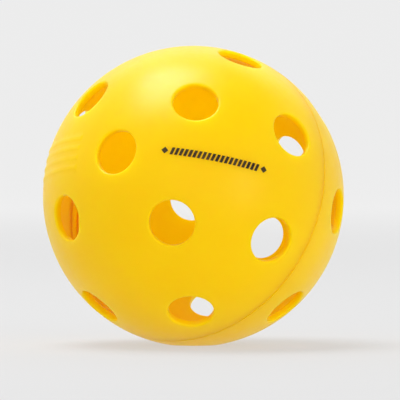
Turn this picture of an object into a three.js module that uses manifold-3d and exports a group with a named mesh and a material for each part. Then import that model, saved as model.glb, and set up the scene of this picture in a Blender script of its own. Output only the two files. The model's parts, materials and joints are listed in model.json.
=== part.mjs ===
// A 26-hole pickleball ball: two moulded half shells that meet at the equator, where half A's inner
// lip sits in half B's rebate, and the ring of plastic that melts and sets again between them when
// they are welded.
//
// Lengths are in millimetres and angles in degrees. The origin is the ball's centre, and +Z is up.
// The ball stands as it came to rest, on the rim of a hole, so the line through its poles is tilted.

import * as THREE from 'three';
import { mergeVertices } from 'three/addons/utils/BufferGeometryUtils.js';
import Module from 'manifold-3d';

// Shell
const BALL_RADIUS = 37;
const WALL = 1.8;

// Holes. Each half has one at its pole, a ring of 4 and a ring of 8.
const HOLE_RADIUS = 5.5;
const RING_OF_4_TILT = 36;
const RING_OF_8_TILT = 72;
const RING_OF_8_TURN = 22.5;

// Joint at the equator
const LIP_LENGTH = 1.6;
const WELD_SPACE = 1.0;
const WELD_PROUD = 0.4;
const GAP = 0.15;

// How the halves are turned against each other, and which way half A's pole faces on the floor plan
const HALF_B_TURN = 24;
const POLE_HEADING = -122.4;

// Facets
const TURNED_SEGMENTS = 45;
const ARC_STEPS = 8;
const BEAD_STEPS = 5;
const HOLE_SIDES = 20;

const INNER_RADIUS = BALL_RADIUS - WALL;
const LIP_RADIUS = BALL_RADIUS - WALL / 2 - GAP / 2;
const REBATE_RADIUS = LIP_RADIUS + GAP;
const REBATE_DEPTH = LIP_LENGTH + WELD_SPACE;
const CUTTER_LENGTH = 4 * WALL;

// At this tilt and spin, the second hole of half B's ring of 8 points straight down.
const POLE_TILT = RING_OF_8_TILT;
const POLE_SPIN = RING_OF_8_TURN + 45 - HALF_B_TURN;

const radians = THREE.MathUtils.degToRad;
const wasm = await Module();
wasm.setup();

// A closed three.js geometry as a solid that can be cut.
function toSolid(geometry) {
  const bare = geometry.clone();
  bare.deleteAttribute('normal');
  bare.deleteAttribute('uv');
  const merged = mergeVertices(bare);
  return new wasm.Manifold(new wasm.Mesh({
    numProp: 3,
    vertProperties: new Float32Array(merged.attributes.position.array),
    triVerts: new Uint32Array(merged.index.array),
  }));
}

function toGeometry(solid) {
  const mesh = solid.getMesh();
  const geometry = new THREE.BufferGeometry();
  geometry.setAttribute('position', new THREE.BufferAttribute(mesh.vertProperties, 3));
  geometry.setIndex(new THREE.BufferAttribute(mesh.triVerts, 1));
  geometry.computeVertexNormals();
  return geometry;
}

// Points of an arc about the ball's centre, by the angle from the pole.
function sphereArc(radius, from, to) {
  const points = [];
  for (let step = 0; step <= ARC_STEPS; step += 1) {
    const angle = from + (to - from) * step / ARC_STEPS;
    points.push(new THREE.Vector2(radius * Math.sin(angle), radius * Math.cos(angle)));
  }
  return points;
}

// A closed profile, given as radius and height, turned about the Z axis.
function turned(profile) {
  const closed = [...profile, profile[0]];
  return new THREE.LatheGeometry(closed, TURNED_SEGMENTS).rotateX(Math.PI / 2);
}

// The angle from the pole at which a sphere is a given distance from the pole line.
function poleAngleAtRadius(sphereRadius, distance) {
  return Math.asin(distance / sphereRadius);
}

// The angle from the pole at which a sphere is a given height above the equator.
function poleAngleAtHeight(sphereRadius, height) {
  return Math.acos(height / sphereRadius);
}

// Outer wall from the given height up to the pole hole, and inner wall from there down again.
function domeProfile(outerHeight, innerHeight) {
  const outer = sphereArc(
    BALL_RADIUS,
    poleAngleAtHeight(BALL_RADIUS, outerHeight),
    poleAngleAtRadius(BALL_RADIUS, HOLE_RADIUS),
  );
  const inner = sphereArc(
    INNER_RADIUS,
    poleAngleAtRadius(INNER_RADIUS, HOLE_RADIUS),
    poleAngleAtHeight(INNER_RADIUS, innerHeight),
  );
  return [...outer, ...inner];
}

// Half A ends in a thin lip that reaches past the equator along the inner wall.
function lippedProfile() {
  return [
    ...domeProfile(0, 0),
    new THREE.Vector2(INNER_RADIUS, -LIP_LENGTH),
    new THREE.Vector2(LIP_RADIUS, -LIP_LENGTH),
    new THREE.Vector2(LIP_RADIUS, 0),
  ];
}

// Half B has a rebate that takes half A's lip, with room past the lip's end for the weld.
function rebatedProfile() {
  return [
    ...domeProfile(GAP, REBATE_DEPTH),
    new THREE.Vector2(REBATE_RADIUS, REBATE_DEPTH),
    new THREE.Vector2(REBATE_RADIUS, GAP),
  ];
}

// A round cutter through the wall, square to it.
function holeCutter(tilt, turn) {
  const cutter = new THREE.CylinderGeometry(HOLE_RADIUS, HOLE_RADIUS, CUTTER_LENGTH, HOLE_SIDES);
  cutter.rotateX(Math.PI / 2);
  cutter.translate(0, 0, BALL_RADIUS - WALL / 2);
  cutter.rotateY(radians(tilt));
  cutter.rotateZ(radians(turn));
  return toSolid(cutter);
}

// The pole hole is part of the turned profile, so only the two rings are cut.
function halfShell(profile) {
  let solid = toSolid(turned(profile));
  for (let hole = 0; hole < 4; hole += 1) {
    solid = solid.subtract(holeCutter(RING_OF_4_TILT, hole * 90));
  }
  for (let hole = 0; hole < 8; hole += 1) {
    solid = solid.subtract(holeCutter(RING_OF_8_TILT, RING_OF_8_TURN + hole * 45));
  }
  return toGeometry(solid);
}

// A ring past the end of the lip, flat against the rebate and rounded where it bulges into the ball.
function weldRing() {
  const bottom = LIP_LENGTH + GAP;
  const top = REBATE_DEPTH - GAP;
  const middle = (bottom + top) / 2;
  const beadRadius = (top - bottom) / 2;
  const beadCentre = INNER_RADIUS - WELD_PROUD + beadRadius;
  const profile = [
    new THREE.Vector2(REBATE_RADIUS - GAP, bottom),
    new THREE.Vector2(REBATE_RADIUS - GAP, top),
  ];
  for (let step = 0; step <= BEAD_STEPS; step += 1) {
    const angle = Math.PI * step / BEAD_STEPS;
    profile.push(new THREE.Vector2(
      beadCentre - beadRadius * Math.sin(angle),
      middle + beadRadius * Math.cos(angle),
    ));
  }
  return toGeometry(toSolid(turned(profile)));
}

function piece(name, geometry, color) {
  const material = new THREE.MeshStandardMaterial({ color, roughness: 0.45, metalness: 0 });
  const mesh = new THREE.Mesh(geometry, material);
  mesh.name = name;
  return mesh;
}

// Half B is half A's pole turned over, with the weld ring in its rebate.
const halfB = new THREE.Group();
halfB.rotation.set(Math.PI, 0, radians(HALF_B_TURN), 'ZYX');
halfB.add(piece('half_shell_b', halfShell(rebatedProfile()), 0xf2c900));
halfB.add(piece('weld_ring', weldRing(), 0xffb000));

const ball = new THREE.Group();
ball.rotation.z = radians(POLE_SPIN);
ball.add(piece('half_shell_a', halfShell(lippedProfile()), 0xf5cd00));
ball.add(halfB);

const restingBall = new THREE.Group();
restingBall.rotation.set(0, radians(POLE_TILT), radians(POLE_HEADING), 'ZYX');
restingBall.add(ball);

export default restingBall;
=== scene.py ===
"""The looks of a 26-hole pickleball ball: two translucent moulded half shells, the weld between them,
a printed mark and a raised mark, on a pale studio floor.

Lengths are in metres. The holes' places, and with them each half's pole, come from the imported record.
"""

import json
import math

import bmesh
import bpy
import numpy as np
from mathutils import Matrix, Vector
from mathutils.geometry import delaunay_2d_cdt


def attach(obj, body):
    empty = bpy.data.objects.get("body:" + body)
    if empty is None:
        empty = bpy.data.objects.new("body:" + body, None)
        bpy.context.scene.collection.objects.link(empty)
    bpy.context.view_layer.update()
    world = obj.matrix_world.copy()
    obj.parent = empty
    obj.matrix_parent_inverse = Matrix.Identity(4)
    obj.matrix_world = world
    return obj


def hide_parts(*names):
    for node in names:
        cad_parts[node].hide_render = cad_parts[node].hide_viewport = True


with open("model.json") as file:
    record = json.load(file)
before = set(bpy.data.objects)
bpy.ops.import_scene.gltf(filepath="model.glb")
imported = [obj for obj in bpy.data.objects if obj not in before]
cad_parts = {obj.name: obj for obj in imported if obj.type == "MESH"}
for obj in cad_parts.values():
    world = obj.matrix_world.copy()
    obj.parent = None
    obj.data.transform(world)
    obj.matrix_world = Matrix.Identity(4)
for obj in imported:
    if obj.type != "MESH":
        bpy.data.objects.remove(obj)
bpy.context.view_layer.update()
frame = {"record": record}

MM = 0.001
DEGREE = math.pi / 180

# The ball, with the CAD model's sizes
BALL_RADIUS = 37.0 * MM
WALL = 1.8 * MM
HOLE_RADIUS = 5.5 * MM
LIP_LENGTH = 1.6 * MM
WELD_SPACE = 1.0 * MM
WELD_PROUD = 0.4 * MM
JOINT_GAP = 0.15 * MM
INNER_RADIUS = BALL_RADIUS - WALL
REBATE_DEPTH = LIP_LENGTH + WELD_SPACE
REST_HEIGHT = math.sqrt(BALL_RADIUS ** 2 - HOLE_RADIUS ** 2)

# Moulded edges
OUTER_RIM_ROUND = 0.45 * MM
INNER_RIM_ROUND = 0.25 * MM

# Seam: how far each half stands back from the equator, how far it does at the inner wall, and how
# far from the inner wall the line between them starts to narrow
SEAM_GAP = JOINT_GAP
SEAM_INNER_GAP = 0.015 * MM
SEAM_NARROWS = 0.3 * MM

# Weld bead: how uneven it is, and how many times each of three waves rises around it
BEAD_SWELL = 0.1
BEAD_LUMPS = (17, 29, 41)

# Printed line on half A, from one (tilt, turn) to another: slanted dashes between two diamonds
PRINT_START = (18.8 * DEGREE, 51.4 * DEGREE)
PRINT_END = (59.6 * DEGREE, 48.4 * DEGREE)
PRINT_HALF_HEIGHT = 0.9 * MM
PRINT_SLANT = 0.28
DASH_COUNT = 20
DASH_WIDTH = 0.72 * MM
DIAMOND_LENGTH = 1.7 * MM
DIAMOND_LENGTHS_TO_DASHES = 1.6
DIAMOND_GRID = (3, 3)
DASH_GRID = (2, 4)
INK_PROUD = 0.02 * MM
INK_SUNK = 0.02 * MM

# Moulded panel of long straight ribs, on half A
RIB_TURN = 225.0 * DEGREE
RIB_START = 18.0 * DEGREE
RIB_END = 54.0 * DEGREE
RIB_PANEL_HALF_WIDTH = 4.4 * MM
RIB_COUNT = 4
RIB_WIDTH = 0.8 * MM
RIB_HEIGHT = 0.16 * MM
RIB_EDGE = 0.3 * MM
RIB_MARGIN = 0.6 * MM
RIB_GRID = 0.27 * MM

# Mesh fineness
RIM_POINTS = 60
RIM_STEPS = 6
COLLAR_WIDTHS = (0.55 * MM, 1.25 * MM)
EQUATOR_POINTS = 240
BEAD_STEPS = 12
OUTER_SPACING = 1.0 * MM
INNER_SPACING = 1.4 * MM
EDGE_CLEARANCE = 0.6
TRIANGLE_PACKING = 0.866
MERGE_DISTANCE = 1e-9
SURFACE_TOLERANCE = 0.01 * MM
SHARP_ANGLE = 40 * DEGREE
STUDIO_SEGMENTS = 96
STUDIO_BEND_STEPS = 16

# Plastic: its colours, how far each colour travels inside it, and its reflection seen flat-on
SHELL_PALE = (0.995, 0.59, 0.002)
SHELL_DEEP = (0.99, 0.57, 0.001)
WELD_PALE = (0.995, 0.75, 0.004)
WELD_DEEP = (0.99, 0.72, 0.002)
SCATTER_LENGTH = 8 * MM
SCATTER_SHARES = (1.0, 1.0, 0.03)
PLASTIC_IOR = 1.5
REFLECTION_LEVEL = 0.2
REFLECTION_TINT = (1.0, 0.95, 0.4, 1)
SATIN_ROUGHNESS = (0.32, 0.42)
GRAIN_HEIGHT = 0.006 * MM
RIPPLE_HEIGHT = 0.05 * MM

# Ink
INK_DARK = (0.008, 0.004, 0.001, 1)
INK_RUBBED = (0.10, 0.06, 0.01, 1)
INK_MOST_RUBBED = 0.8
INK_REFLECTION = 0.2
INK_ROUGHNESS = (0.5, 0.7)
INK_GRAIN_HEIGHT = 0.004 * MM

# Noise: scales in features per metre, how many finer octaves some have, and the middle of its range
CLOUD_SCALE = 90
SATIN_SCALE = 700
GRAIN_SCALE = 2600
RIPPLE_SCALE = 160
RUB_SCALE = 260
INK_SATIN_SCALE = 1500
INK_GRAIN_SCALE = 5000
PLAIN_DETAIL = 2.0
SATIN_DETAIL = 5.0
RUB_DETAIL = 6.0
NOISE_MIDDLE = (0.3, 0.7)

# Camera
CAMERA_DISTANCE = 33 * BALL_RADIUS
CAMERA_ELEVATION = 1.12 * DEGREE
CAMERA_AIM = Vector((1.62, 0.0, -0.92)) * MM
SENSOR_WIDTH = 36.0
BALL_SHARE_OF_FRAME = 0.7525
CLIP_START = 0.05
CLIP_END = 20

# Studio: a light table with a wall of the same brightness, and soft boxes
FLOOR_RADIUS = 1.6
WALL_RADIUS = 2.6
WALL_HEIGHT = 2.6
TABLE_GLOW = 0.51
TABLE_PAINT = 0.21
WALL_GLOW = 0.81
WALL_PAINT = 0.04
TABLE_SHARE = 0.3
STUDIO_ROUGHNESS = 0.9
STUDIO_REFLECTION = 0.05
WORLD_STRENGTH = 0.2
LIGHT_BOUNCES = 32

# Each soft box's place, size and power. The sheen box shows only in reflections.
TOP_BOX = ((-0.28, 0.11, 1.1), (0.9, 0.6), 11.6)
SHEEN_BOX = ((-0.28, 0.11, 1.1), (0.7, 0.5), 12.0)
BACK_BOX = ((0.0, 1.0, 0.8), (1.2, 0.6), 2.0)
FRONT_BOX = ((0.0, -1.7, 0.25), (1.0, 1.0), 3.6)
SIDE_BOX = ((0.9, -1.1, 0.12), (0.4, 0.6), 6.0)
SHEEN_COLOUR = (0.2, 0.4, 1.0)


# ---------------------------------------------------------------- the halves' own axes

def opening_direction(name):
    """The unit vector from the ball's centre to the middle of an opening in the record."""
    for opening in frame["record"]["physics"]["openings"]:
        if opening["name"] == name:
            low, high = np.array(opening["box_m"])
            middle = (low + high) / 2
            return middle / np.linalg.norm(middle)
    raise KeyError(name)


def half_axes(side):
    """A half's own x, y and z axes as rows: z through its pole, x towards its ring of 4's first hole."""
    z = opening_direction(f"hole_{side}_pole")
    first = opening_direction(f"hole_{side}_ring_of_4_1")
    x = first - z * (first @ z)
    x /= np.linalg.norm(x)
    return np.array([x, np.cross(z, x), z])


def hole_directions(side, axes):
    """The 13 hole directions of a half, in its own axes."""
    names = [f"hole_{side}_pole"]
    names += [f"hole_{side}_ring_of_4_{n}" for n in range(1, 5)]
    names += [f"hole_{side}_ring_of_8_{n}" for n in range(1, 9)]
    return [axes @ opening_direction(name) for name in names]


def direction(tilt, turn):
    """The unit vector at an angle from the pole, turned about it."""
    return np.array([math.sin(tilt) * math.cos(turn), math.sin(tilt) * math.sin(turn), math.cos(tilt)])


# ---------------------------------------------------------------- mesh building

class ShellMesh:
    """Vertices and faces of one closed body, in a half's own axes."""

    def __init__(self):
        self.points = []
        self.faces = []

    def ring(self, axis, profile_point, count):
        """A circle of points about an axis through the centre. profile_point is (radius, height)."""
        radius, height = profile_point
        axis = np.array(axis, float)
        helper = np.array([0.0, 0.0, 1.0]) if abs(axis[2]) < 0.9 else np.array([1.0, 0.0, 0.0])
        u = np.cross(helper, axis)
        u /= np.linalg.norm(u)
        v = np.cross(axis, u)
        start = len(self.points)
        for n in range(count):
            angle = 2 * math.pi * n / count
            self.points.append(axis * height + radius * (u * math.cos(angle) + v * math.sin(angle)))
        return list(range(start, start + count))

    def bridge(self, ring_a, ring_b):
        """A band of quads between two rings with the same number of points."""
        count = len(ring_a)
        for n in range(count):
            m = (n + 1) % count
            self.faces.append((ring_a[n], ring_a[m], ring_b[m], ring_b[n]))

    def lathe(self, axis, profile, count):
        """Rings along a profile, joined by bands. Returns the rings."""
        rings = [self.ring(axis, point, count) for point in profile]
        for ring_a, ring_b in zip(rings, rings[1:]):
            self.bridge(ring_a, ring_b)
        return rings

    def fill_sphere(self, loops, inside, radius, is_hole):
        """Triangles over a dome between boundary loops, through extra points given as directions.

        The dome is flattened by stereographic projection, which keeps circles round.
        """
        start = len(self.points)
        self.points += [radius * d for d in inside]
        ids = [n for loop in loops for n in loop] + list(range(start, len(self.points)))
        place = {n: k for k, n in enumerate(ids)}
        flat = []
        for n in ids:
            d = self.points[n] / np.linalg.norm(self.points[n])
            flat.append(Vector((d[0] / (1 + d[2]), d[1] / (1 + d[2]))))
        edges = [
            (place[a], place[b])
            for loop in loops
            for a, b in zip(loop, loop[1:] + loop[:1])
        ]
        _, _, triangles, sources, _, _ = delaunay_2d_cdt(flat, edges, [], 0, MERGE_DISTANCE, True)
        originals = [source[0] for source in sources]
        for triangle in triangles:
            corners = [ids[originals[k]] for k in triangle]
            middle = sum(self.points[n] for n in corners)
            if not is_hole(middle / np.linalg.norm(middle)):
                self.faces.append(tuple(corners))

    def to_object(self, name, axes):
        """A smooth-shaded Blender object, turned from the half's axes into the row frame."""
        points = np.array(self.points) @ axes
        mesh = bpy.data.meshes.new(name)
        mesh.from_pydata([tuple(p) for p in points], [], self.faces)
        work = bmesh.new()
        work.from_mesh(mesh)
        bmesh.ops.recalc_face_normals(work, faces=work.faces)
        open_edges = [edge for edge in work.edges if len(edge.link_faces) != 2]
        assert not open_edges, f"{name} has {len(open_edges)} open edges"
        work.to_mesh(mesh)
        work.free()
        mesh.shade_smooth()
        mesh.set_sharp_from_angle(angle=SHARP_ANGLE)
        piece = bpy.data.objects.new(name, mesh)
        bpy.context.scene.collection.objects.link(piece)
        return piece


def arc(centre, radius, start, end, steps):
    """Points of an arc in a profile plane. Angles run from the radius axis towards the height axis."""
    return [
        (
            centre[0] + radius * math.cos(start + (end - start) * n / steps),
            centre[1] + radius * math.sin(start + (end - start) * n / steps),
        )
        for n in range(steps + 1)
    ]


def on_sphere(radius, angle):
    """A profile point on a sphere at an angle from the profile's height axis."""
    return radius * math.sin(angle), radius * math.cos(angle)


def hole_profile():
    """From the outer collar over the rounded rim, down the hole's wall, to the inner collar."""
    outer_reach = HOLE_RADIUS + OUTER_RIM_ROUND
    outer_height = math.sqrt((BALL_RADIUS - OUTER_RIM_ROUND) ** 2 - outer_reach ** 2)
    outer_angle = math.atan2(outer_reach, outer_height)
    inner_reach = HOLE_RADIUS + INNER_RIM_ROUND
    inner_height = math.sqrt((INNER_RADIUS + INNER_RIM_ROUND) ** 2 - inner_reach ** 2)
    inner_angle = math.atan2(inner_reach, inner_height)
    outer_collars = [
        on_sphere(BALL_RADIUS, outer_angle + width / BALL_RADIUS) for width in reversed(COLLAR_WIDTHS)
    ]
    inner_collars = [
        on_sphere(INNER_RADIUS, inner_angle + width / INNER_RADIUS) for width in COLLAR_WIDTHS
    ]
    outer_rim = arc(
        (outer_reach, outer_height), OUTER_RIM_ROUND, math.pi / 2 - outer_angle, math.pi, RIM_STEPS
    )
    inner_rim = arc(
        (inner_reach, inner_height), INNER_RIM_ROUND, math.pi, 3 * math.pi / 2 - inner_angle, RIM_STEPS
    )
    return outer_collars + outer_rim + inner_rim + inner_collars


def even_directions(spacing, radius, lowest):
    """Directions spread evenly over a dome by the golden angle, above a lowest height."""
    count = int(2 * math.pi * radius ** 2 / (spacing ** 2 * TRIANGLE_PACKING))
    golden = math.pi * (3 - math.sqrt(5))
    found = []
    for n in range(count):
        height = (n + 0.5) / count
        if height > lowest:
            found.append(direction(math.acos(height), n * golden))
    return found


def welded_joint():
    """Where a half meets the other, from its outer edge to its inner edge.

    The lip and rebate are melted into one wall here, so only a fine line shows on the outside. It
    narrows at the inner wall, so that no light shows straight through it.
    """
    places = [
        (BALL_RADIUS, SEAM_GAP),
        (INNER_RADIUS + SEAM_NARROWS, SEAM_GAP),
        (INNER_RADIUS, SEAM_INNER_GAP),
    ]
    return [(math.sqrt(radius ** 2 - height ** 2), height) for radius, height in places]


def half_shell(name, side, relief=None):
    """One half: domes outside and inside, 13 rounded holes, and its side of the joint."""
    axes = half_axes(side)
    holes = hole_directions(side, axes)
    body = ShellMesh()
    outer_loops = []
    inner_loops = []
    profile = hole_profile()
    joint = welded_joint()
    for hole in holes:
        rings = body.lathe(hole, profile, RIM_POINTS)
        outer_loops.append(rings[0])
        inner_loops.append(rings[-1])
    rings = body.lathe((0, 0, 1), joint, EQUATOR_POINTS)
    outer_loops.append(rings[0])
    inner_loops.append(rings[-1])

    def fill(loops, edge_point, radius, spacing, extra):
        """Fills one dome out to the collars and the joint."""
        collar = body.points[loops[0][0]]
        reach = math.acos(collar @ holes[0] / np.linalg.norm(collar))
        lowest = math.sin(
            math.atan2(edge_point[1], edge_point[0]) + EDGE_CLEARANCE * spacing / radius
        )
        clear = math.cos(reach + EDGE_CLEARANCE * spacing / radius)
        inside = [
            d for d in even_directions(spacing, radius, lowest)
            if all(d @ hole < clear for hole in holes)
        ]
        if extra:
            inside = [d for d in inside if not extra.covers(d)] + extra.directions()
        body.fill_sphere(
            loops, inside, radius, lambda d: any(d @ hole > math.cos(reach) for hole in holes)
        )

    fill(outer_loops, joint[0], BALL_RADIUS, OUTER_SPACING, relief)
    fill(inner_loops, joint[-1], INNER_RADIUS, INNER_SPACING, None)
    if relief:
        body.points = [relief.raised(np.array(p)) for p in body.points]
    return body.to_object(name, axes)


class RibPanel:
    """A raised panel on half A's outside: plain parallel ribs that run along a meridian."""

    def __init__(self):
        self.across = np.array([-math.sin(RIB_TURN), math.cos(RIB_TURN), 0.0])
        self.length = (RIB_END - RIB_START) * BALL_RADIUS

    def flat(self, d):
        """How far along and across the panel a direction is, as lengths on the ball."""
        side = math.asin(max(-1.0, min(1.0, float(d @ self.across))))
        outward = math.cos(RIB_TURN) * d[0] + math.sin(RIB_TURN) * d[1]
        return (math.atan2(outward, d[2]) - RIB_START) * BALL_RADIUS, side * BALL_RADIUS

    def covers(self, d, margin=RIB_MARGIN):
        """Whether a direction is on the panel or within a margin of it."""
        along, side = self.flat(d)
        return (
            -margin < along < self.length + margin
            and abs(side) < RIB_PANEL_HALF_WIDTH + margin
        )

    def directions(self):
        """A fine grid of directions over the panel."""
        rows = round(self.length / RIB_GRID)
        columns = round(2 * RIB_PANEL_HALF_WIDTH / RIB_GRID)
        found = []
        for row in range(rows + 1):
            spine = direction(RIB_START + (RIB_END - RIB_START) * row / rows, RIB_TURN)
            for column in range(columns + 1):
                side = (2 * column / columns - 1) * RIB_PANEL_HALF_WIDTH / BALL_RADIUS
                found.append(spine * math.cos(side) + self.across * math.sin(side))
        return found

    def height(self, along, side):
        """The relief's height at a place on the panel."""
        reach = RIB_PANEL_HALF_WIDTH - RIB_EDGE - RIB_WIDTH / 2
        pitch = 2 * reach / (RIB_COUNT - 1)
        nearest = max(0, min(RIB_COUNT - 1, round((side + reach) / pitch)))
        rib = band(side + reach - nearest * pitch, RIB_WIDTH)
        ends = band(along - self.length / 2, self.length - 4 * RIB_EDGE)
        return RIB_HEIGHT * min(rib, ends)

    def raised(self, point):
        """A point of half A, moved out if it is on the panel."""
        reach = np.linalg.norm(point)
        if point[2] < 0 or reach < BALL_RADIUS - SURFACE_TOLERANCE:
            return point
        d = point / reach
        if not self.covers(d, 0.0):
            return point
        return point * (1 + self.height(*self.flat(d)) / reach)


def band(offset, width):
    """1 inside a band about zero, falling smoothly to 0 over RIB_EDGE outside it."""
    t = min(1.0, max(0.0, 1 - (abs(offset) - width / 2) / RIB_EDGE))
    return t * t * (3 - 2 * t)


def print_patch(body, outline, columns, rows):
    """One closed patch of ink that hugs half A. outline(u, v) gives a place on the print line."""
    start, end = direction(*PRINT_START), direction(*PRINT_END)
    across = np.cross(start, end)
    across /= np.linalg.norm(across)
    forward = np.cross(across, start)
    layers = []
    for radius in (BALL_RADIUS + INK_PROUD, BALL_RADIUS - INK_SUNK):
        layer = []
        for row in range(rows + 1):
            for column in range(columns + 1):
                along, side = outline(column / columns, row / rows)
                angle, turn = along / BALL_RADIUS, side / BALL_RADIUS
                spine = start * math.cos(angle) + forward * math.sin(angle)
                layer.append(len(body.points))
                body.points.append(radius * (spine * math.cos(turn) + across * math.sin(turn)))
        layers.append(layer)
    top, bottom = layers
    stride = columns + 1
    for row in range(rows):
        for column in range(columns):
            n = row * stride + column
            body.faces.append((top[n], top[n + 1], top[n + stride + 1], top[n + stride]))
            body.faces.append((bottom[n], bottom[n + stride], bottom[n + stride + 1], bottom[n + 1]))
    rim = list(range(columns + 1))
    rim += [row * stride + columns for row in range(1, rows + 1)]
    rim += [rows * stride + column for column in range(columns - 1, -1, -1)]
    rim += [row * stride for row in range(rows - 1, 0, -1)]
    for n, m in zip(rim, rim[1:] + rim[:1]):
        body.faces.append((top[n], bottom[n], bottom[m], top[m]))


def print_line():
    """The printed line: plain slanted dashes between two diamonds, as thin films of ink."""
    body = ShellMesh()
    length = BALL_RADIUS * math.acos(direction(*PRINT_START) @ direction(*PRINT_END))

    def diamond(middle):
        half = DIAMOND_LENGTH / 2

        def outline(u, v):
            return middle + (u + v - 1) * half, (v - u) * half

        print_patch(body, outline, *DIAMOND_GRID)

    def dash(middle):
        def outline(u, v):
            side = (2 * v - 1) * PRINT_HALF_HEIGHT
            return middle + (u - 0.5) * DASH_WIDTH + PRINT_SLANT * side, side

        print_patch(body, outline, *DASH_GRID)

    diamond(DIAMOND_LENGTH / 2)
    diamond(length - DIAMOND_LENGTH / 2)
    first = DIAMOND_LENGTHS_TO_DASHES * DIAMOND_LENGTH
    last = length - first
    for n in range(DASH_COUNT):
        dash(first + (last - first) * n / (DASH_COUNT - 1))
    return body.to_object("print_line", half_axes("a"))


def weld_bead():
    """The ring of re-set plastic that bulges out of the inner wall past the lip, slightly uneven.

    The joint is melted into the wall, so this is the part of it that stands clear of the wall.
    """
    bottom = LIP_LENGTH + JOINT_GAP
    top = REBATE_DEPTH - JOINT_GAP
    middle = (bottom + top) / 2
    back = math.sqrt(INNER_RADIUS ** 2 - top ** 2) - JOINT_GAP
    depth = back - INNER_RADIUS + WELD_PROUD
    angles = [math.pi * n / BEAD_STEPS for n in range(BEAD_STEPS + 1)]
    profile = [
        (back - depth * math.sin(angle), middle + (top - middle) * math.cos(angle)) for angle in angles
    ]
    body = ShellMesh()
    rings = body.lathe((0, 0, 1), profile, EQUATOR_POINTS)
    body.bridge(rings[-1], rings[0])
    for ring in rings[1:-1]:
        for n in ring:
            point = body.points[n]
            turn = math.atan2(point[1], point[0])
            swell = BEAD_SWELL * sum(math.sin(k * turn + k) for k in BEAD_LUMPS)
            radius = math.hypot(point[0], point[1])
            body.points[n][:2] *= (back - (back - radius) * (1 + swell)) / radius
    return body.to_object("weld_bead", half_axes("b"))


# ---------------------------------------------------------------- materials

def new_material(name):
    """A material with its nodes, its links and its shader."""
    material = bpy.data.materials.new(name)
    material.use_nodes = True
    tree = material.node_tree
    return material, tree.nodes, tree.links, tree.nodes["Principled BSDF"]


def noise(nodes, links, scale, detail=PLAIN_DETAIL):
    """A noise texture over the object's own coordinates."""
    coordinates = nodes.new("ShaderNodeTexCoord")
    texture = nodes.new("ShaderNodeTexNoise")
    texture.inputs["Scale"].default_value = scale
    texture.inputs["Detail"].default_value = detail
    links.new(coordinates.outputs["Object"], texture.inputs["Vector"])
    return texture.outputs["Fac"]


def spread(nodes, links, value, low, high):
    """Maps the middle of a noise onto a range."""
    mapped = nodes.new("ShaderNodeMapRange")
    mapped.inputs["From Min"].default_value = NOISE_MIDDLE[0]
    mapped.inputs["From Max"].default_value = NOISE_MIDDLE[1]
    mapped.inputs["To Min"].default_value = low
    mapped.inputs["To Max"].default_value = high
    links.new(value, mapped.inputs["Value"])
    return mapped.outputs["Result"]


def blend(nodes, links, factor, first, second):
    """A colour between two others."""
    colour = nodes.new("ShaderNodeMix")
    colour.data_type = "RGBA"
    colour.inputs["A"].default_value = first
    colour.inputs["B"].default_value = second
    links.new(factor, colour.inputs["Factor"])
    return colour.outputs["Result"]


def bump(nodes, links, height, distance, below=None):
    """A bump of a given height, on top of another bump if given."""
    node = nodes.new("ShaderNodeBump")
    node.inputs["Strength"].default_value = 1.0
    node.inputs["Distance"].default_value = distance
    links.new(height, node.inputs["Height"])
    if below:
        links.new(below, node.inputs["Normal"])
    return node.outputs["Normal"]


def moulded_plastic(name, pale, deep):
    """Translucent moulded plastic: a slight cloudiness of colour, a satin skin and a fine grain."""
    material, nodes, links, shader = new_material(name)
    shader.inputs["Subsurface Weight"].default_value = 1.0
    shader.inputs["Subsurface Radius"].default_value = SCATTER_SHARES
    shader.inputs["Subsurface Scale"].default_value = SCATTER_LENGTH
    shader.inputs["Specular IOR Level"].default_value = REFLECTION_LEVEL
    shader.inputs["Specular Tint"].default_value = REFLECTION_TINT
    shader.inputs["IOR"].default_value = PLASTIC_IOR

    cloud = spread(nodes, links, noise(nodes, links, CLOUD_SCALE), 0, 1)
    colour = blend(nodes, links, cloud, (*pale, 1), (*deep, 1))
    links.new(colour, shader.inputs["Base Color"])

    satin = spread(nodes, links, noise(nodes, links, SATIN_SCALE, SATIN_DETAIL), *SATIN_ROUGHNESS)
    links.new(satin, shader.inputs["Roughness"])

    grain = bump(nodes, links, noise(nodes, links, GRAIN_SCALE), GRAIN_HEIGHT)
    ripple = bump(nodes, links, noise(nodes, links, RIPPLE_SCALE), RIPPLE_HEIGHT, grain)
    links.new(ripple, shader.inputs["Normal"])
    return material


def printing_ink():
    """Dark brown ink, rubbed thinner in places so that it shows paler there."""
    material, nodes, links, shader = new_material("printing_ink")
    shader.inputs["Specular IOR Level"].default_value = INK_REFLECTION

    rub = spread(nodes, links, noise(nodes, links, RUB_SCALE, RUB_DETAIL), 0, INK_MOST_RUBBED)
    links.new(blend(nodes, links, rub, INK_DARK, INK_RUBBED), shader.inputs["Base Color"])

    satin = spread(nodes, links, noise(nodes, links, INK_SATIN_SCALE), *INK_ROUGHNESS)
    links.new(satin, shader.inputs["Roughness"])

    grain = bump(nodes, links, noise(nodes, links, INK_GRAIN_SCALE), INK_GRAIN_HEIGHT)
    links.new(grain, shader.inputs["Normal"])
    return material


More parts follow.
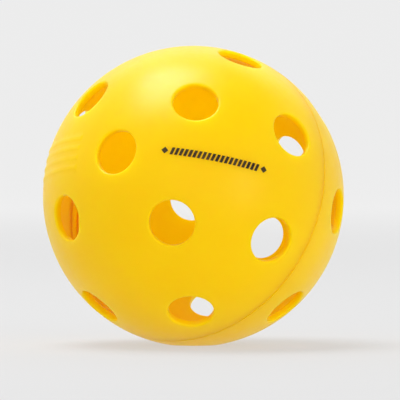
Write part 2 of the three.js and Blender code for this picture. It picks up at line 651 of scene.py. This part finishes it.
def studio_white():
    """A matt white table lit from below, and a wall lit from behind, with a soft change between."""
    material, nodes, links, shader = new_material("studio_white")
    shader.inputs["Roughness"].default_value = STUDIO_ROUGHNESS
    shader.inputs["Specular IOR Level"].default_value = STUDIO_REFLECTION
    shader.inputs["Emission Color"].default_value = (1, 1, 1, 1)

    coordinates = nodes.new("ShaderNodeTexCoord")
    level = nodes.new("ShaderNodeVectorMath")
    level.operation = "MULTIPLY"
    level.inputs[1].default_value = (1, 1, 0)
    reach = nodes.new("ShaderNodeVectorMath")
    reach.operation = "LENGTH"
    links.new(coordinates.outputs["Object"], level.inputs[0])
    links.new(level.outputs["Vector"], reach.inputs[0])

    def table_to_wall(table_value, wall_value):
        """A value that changes with the distance from the ball."""
        mapped = nodes.new("ShaderNodeMapRange")
        mapped.interpolation_type = "SMOOTHSTEP"
        mapped.inputs["From Min"].default_value = TABLE_SHARE * FLOOR_RADIUS
        mapped.inputs["From Max"].default_value = FLOOR_RADIUS
        mapped.inputs["To Min"].default_value = table_value
        mapped.inputs["To Max"].default_value = wall_value
        links.new(reach.outputs["Value"], mapped.inputs["Value"])
        return mapped.outputs["Result"]

    links.new(table_to_wall(TABLE_GLOW, WALL_GLOW), shader.inputs["Emission Strength"])
    links.new(table_to_wall(TABLE_PAINT, WALL_PAINT), shader.inputs["Base Color"])
    return material


# ---------------------------------------------------------------- studio

def studio():
    """A round floor that curves up into a wall, so that no horizon shows from any side."""
    bend = WALL_RADIUS - FLOOR_RADIUS
    profile = [(0.0, 0.0), (FLOOR_RADIUS / 2, 0.0), (FLOOR_RADIUS, 0.0)]
    profile += arc((FLOOR_RADIUS, bend), bend, -math.pi / 2, 0, STUDIO_BEND_STEPS)[1:]
    profile += [(WALL_RADIUS, WALL_HEIGHT)]
    mesh = bpy.data.meshes.new("studio")
    work = bmesh.new()
    rings = []
    for radius, height in profile:
        if radius == 0:
            rings.append([work.verts.new((0, 0, height - REST_HEIGHT))] * STUDIO_SEGMENTS)
            continue
        rings.append([
            work.verts.new((
                radius * math.cos(2 * math.pi * n / STUDIO_SEGMENTS),
                radius * math.sin(2 * math.pi * n / STUDIO_SEGMENTS),
                height - REST_HEIGHT,
            ))
            for n in range(STUDIO_SEGMENTS)
        ])
    for ring_a, ring_b in zip(rings, rings[1:]):
        for n in range(STUDIO_SEGMENTS):
            m = (n + 1) % STUDIO_SEGMENTS
            corners = [ring_a[n], ring_b[n], ring_b[m], ring_a[m]]
            work.faces.new(list(dict.fromkeys(corners)))
    work.to_mesh(mesh)
    work.free()
    mesh.shade_smooth()
    floor = bpy.data.objects.new("studio_floor", mesh)
    bpy.context.scene.collection.objects.link(floor)
    floor.data.materials.append(studio_white())


def soft_box(name, place, size, power, colour=(1, 1, 1)):
    """A rectangular area light that faces the ball and isn't seen by the camera."""
    light = bpy.data.lights.new(name, "AREA")
    light.shape = "RECTANGLE"
    light.size = size[0]
    light.size_y = size[1]
    light.energy = power
    light.color = colour
    lamp = bpy.data.objects.new(name, light)
    lamp.location = place
    lamp.rotation_mode = "QUATERNION"
    lamp.rotation_quaternion = (-Vector(place)).to_track_quat("-Z", "Y")
    lamp.visible_camera = False
    bpy.context.scene.collection.objects.link(lamp)
    return lamp


def lights():
    """A dim white world and five soft boxes."""
    world = bpy.data.worlds.new("studio_world")
    bpy.context.scene.world = world
    world.use_nodes = True
    background = world.node_tree.nodes["Background"]
    background.inputs["Color"].default_value = (1, 1, 1, 1)
    background.inputs["Strength"].default_value = WORLD_STRENGTH
    soft_box("top_box", *TOP_BOX)
    sheen = soft_box("sheen_box", *SHEEN_BOX, SHEEN_COLOUR)
    sheen.visible_diffuse = False
    soft_box("back_box", *BACK_BOX)
    soft_box("front_box", *FRONT_BOX)
    soft_box("side_box", *SIDE_BOX)


def camera():
    """A long lens just above the ball's middle, so that the ball looks nearly flat-on."""
    data = bpy.data.cameras.new("camera")
    half_angle = math.asin(BALL_RADIUS / CAMERA_DISTANCE)
    data.sensor_width = SENSOR_WIDTH
    data.lens = SENSOR_WIDTH / 2 * BALL_SHARE_OF_FRAME / math.tan(half_angle)
    data.clip_start = CLIP_START
    data.clip_end = CLIP_END
    shot = bpy.data.objects.new("camera", data)
    back = Vector((0, -math.cos(CAMERA_ELEVATION), math.sin(CAMERA_ELEVATION)))
    shot.location = back * CAMERA_DISTANCE
    shot.rotation_mode = "QUATERNION"
    shot.rotation_quaternion = (CAMERA_AIM - shot.location).to_track_quat("-Z", "Y")
    bpy.context.scene.collection.objects.link(shot)
    bpy.context.scene.camera = shot


# ---------------------------------------------------------------- the ball

def dress(piece, material, slot, *nodes):
    """Gives a piece its material, puts it under the root body, and hides the CAD parts it replaces."""
    piece.data.materials.append(material)
    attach(piece, "root")
    if nodes:
        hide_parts(*nodes)


shell_plastic = moulded_plastic("yellow_plastic", SHELL_PALE, SHELL_DEEP)
weld_plastic = moulded_plastic("weld_plastic", WELD_PALE, WELD_DEEP)

dress(half_shell("shell_a", "a", RibPanel()), shell_plastic, "shell_plastic", "half_shell_a")
dress(half_shell("shell_b", "b"), shell_plastic, "shell_plastic", "half_shell_b")
dress(weld_bead(), weld_plastic, "weld_plastic", "weld_ring")
dress(print_line(), printing_ink(), "print_ink")

studio()
lights()
camera()

bpy.context.scene.view_settings.view_transform = "Standard"
bpy.context.scene.cycles.diffuse_bounces = LIGHT_BOUNCES
bpy.context.scene.cycles.max_bounces = LIGHT_BOUNCES
